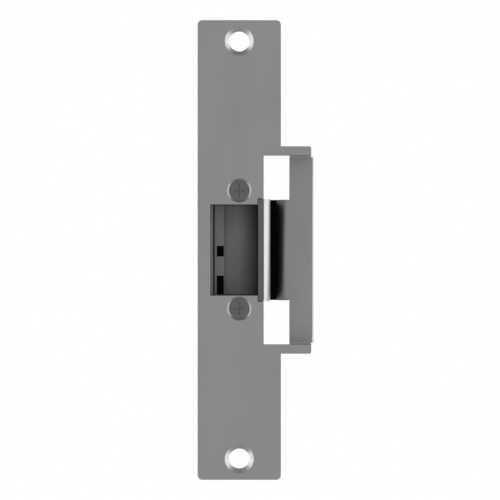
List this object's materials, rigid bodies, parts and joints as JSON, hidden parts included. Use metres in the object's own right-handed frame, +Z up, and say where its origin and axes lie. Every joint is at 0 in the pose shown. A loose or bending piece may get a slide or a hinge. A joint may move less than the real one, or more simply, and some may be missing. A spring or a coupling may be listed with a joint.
{
  "type": "electric door strike",
  "caption": "Electric door strike: a faceplate with a latch pocket, a keeper with a long lip that swings open, and a solenoid lock behind.",
  "frame": {"origin": "midway between the two frame-screw holes, on the faceplate's front face, in the mouth of the latch pocket", "axes": "+X towards the lip, +Y into the door frame, +Z up along the faceplate"},
  "size_m": [0.0445, 0.0381, 0.1746],
  "materials": {
    "stainless_face": "satin brushed stainless steel",
    "stainless_lip": "satin brushed stainless steel",
    "zinc_housing": "zinc die casting, dull plated",
    "zinc_plated_sheet": "zinc-plated mild steel sheet",
    "screw_steel": "plain steel, machined",
    "zinc_plated_screw": "zinc-plated steel",
    "hardened_pin": "ground hardened steel",
    "bobbin_nylon": "moulded glass-filled nylon",
    "coil_tape": "polyester winding tape over copper wire",
    "plunger_steel": "turned, nickel-plated iron",
    "tinned_pins": "tinned wire",
    "board_laminate": "glass-epoxy board with solder mask",
    "black_epoxy": "moulded black epoxy",
    "blue_epoxy": "dipped epoxy",
    "terminal_plastic": "moulded polyamide",
    "spring_steel": "drawn spring wire",
    "keeper_casting": "cast stainless steel, fine blasted",
    "bronze_bushing": "sintered bronze",
    "rivet_steel": "headed steel rivet",
    "lever_steel": "stamped steel",
    "blank_plastic": "moulded black polyamide"
  },
  "bodies": {
    "strike_body": {"faceplate": "stainless_face", "housing": "zinc_housing", "rear_cover": "zinc_plated_sheet", "body_screws": "screw_steel", "cover_screws": "zinc_plated_screw", "solenoid_screws": "zinc_plated_screw", "hinge_pin": "hardened_pin", "lever_pin": "hardened_pin", "solenoid_frame": "zinc_plated_sheet", "solenoid_bobbin": "bobbin_nylon", "solenoid_coil": "coil_tape", "solenoid_core": "plunger_steel", "coil_pins": "tinned_pins", "circuit_board": "board_laminate", "board_screws": "zinc_plated_screw", "rectifier": "black_epoxy", "varistor": "blue_epoxy", "terminal_block": "terminal_plastic", "terminal_screws": "zinc_plated_screw", "slot_blank": "blank_plastic", "keeper_spring": "spring_steel"},
    "keeper": {"keeper_jaw": "keeper_casting", "upper_bushing": "bronze_bushing", "lower_bushing": "bronze_bushing", "lip_plate": "stainless_lip", "lip_rivets": "rivet_steel"},
    "locking_lever": {"locking_lever": "lever_steel"},
    "plunger": {"plunger": "plunger_steel", "plunger_pin": "hardened_pin", "plunger_clip": "spring_steel", "plunger_spring": "spring_steel"}
  },
  "joints": [
    {"name": "keeper_hinge", "type": "hinge", "parent": "strike_body", "child": "keeper", "pos_m": [0.002, 0.024, 0], "axis": [0, 0, 1], "range_deg": [0, 55], "stiffness_Nm_per_rad": 0.06, "springref_deg": -20.05, "deforming": ["keeper_spring"]},
    {"name": "plunger_slide", "type": "slide", "parent": "strike_body", "child": "plunger", "axis": [0, 0, -1], "range_m": [0, 0.003], "stiffness_N_per_m": 300, "springref_m": -0.003, "deforming": ["plunger_spring"]},
    {"name": "lever_hinge", "type": "hinge", "parent": "strike_body", "child": "locking_lever", "pos_m": [-0.0005, 0.0255, -0.0285], "axis": [1, 0, 0], "range_deg": [0, 19.19]}
  ],
  "couplings": [
    {"joint": "lever_hinge", "follows": "plunger_slide", "rad_per_m": 111.63}
  ]
}
